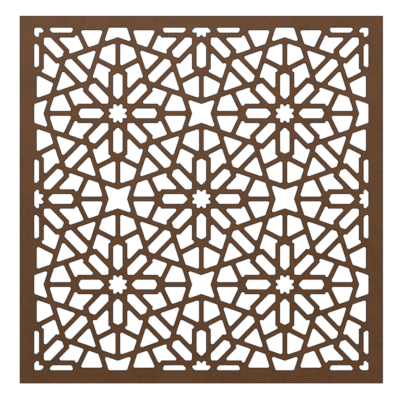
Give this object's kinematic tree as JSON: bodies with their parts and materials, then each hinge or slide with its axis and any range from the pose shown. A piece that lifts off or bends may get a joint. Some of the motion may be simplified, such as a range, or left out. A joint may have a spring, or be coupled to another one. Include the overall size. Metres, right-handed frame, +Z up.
{
  "type": "mashrabiya screen panel",
  "caption": "Nearly square flat sheet metal screen, pierced with a traditional star and polygon strap pattern inside a plain border, for hanging or fixing flat against a wall or in a frame.",
  "frame": {"origin": "on the flat back face, in the middle of the top border, where the panel is held", "axes": "+Z up, -Y out of the patterned front towards the viewer, +Y out of the back towards the wall, +X to the right seen from the front"},
  "size_m": [0.5928, 0.003, 0.5998],
  "materials": {
    "brown_coat": "matt brown powder coat with a fine grain, on every face and cut edge"
  },
  "bodies": {
    "root": {"screen_panel": "brown_coat"}
  },
  "joints": []
}
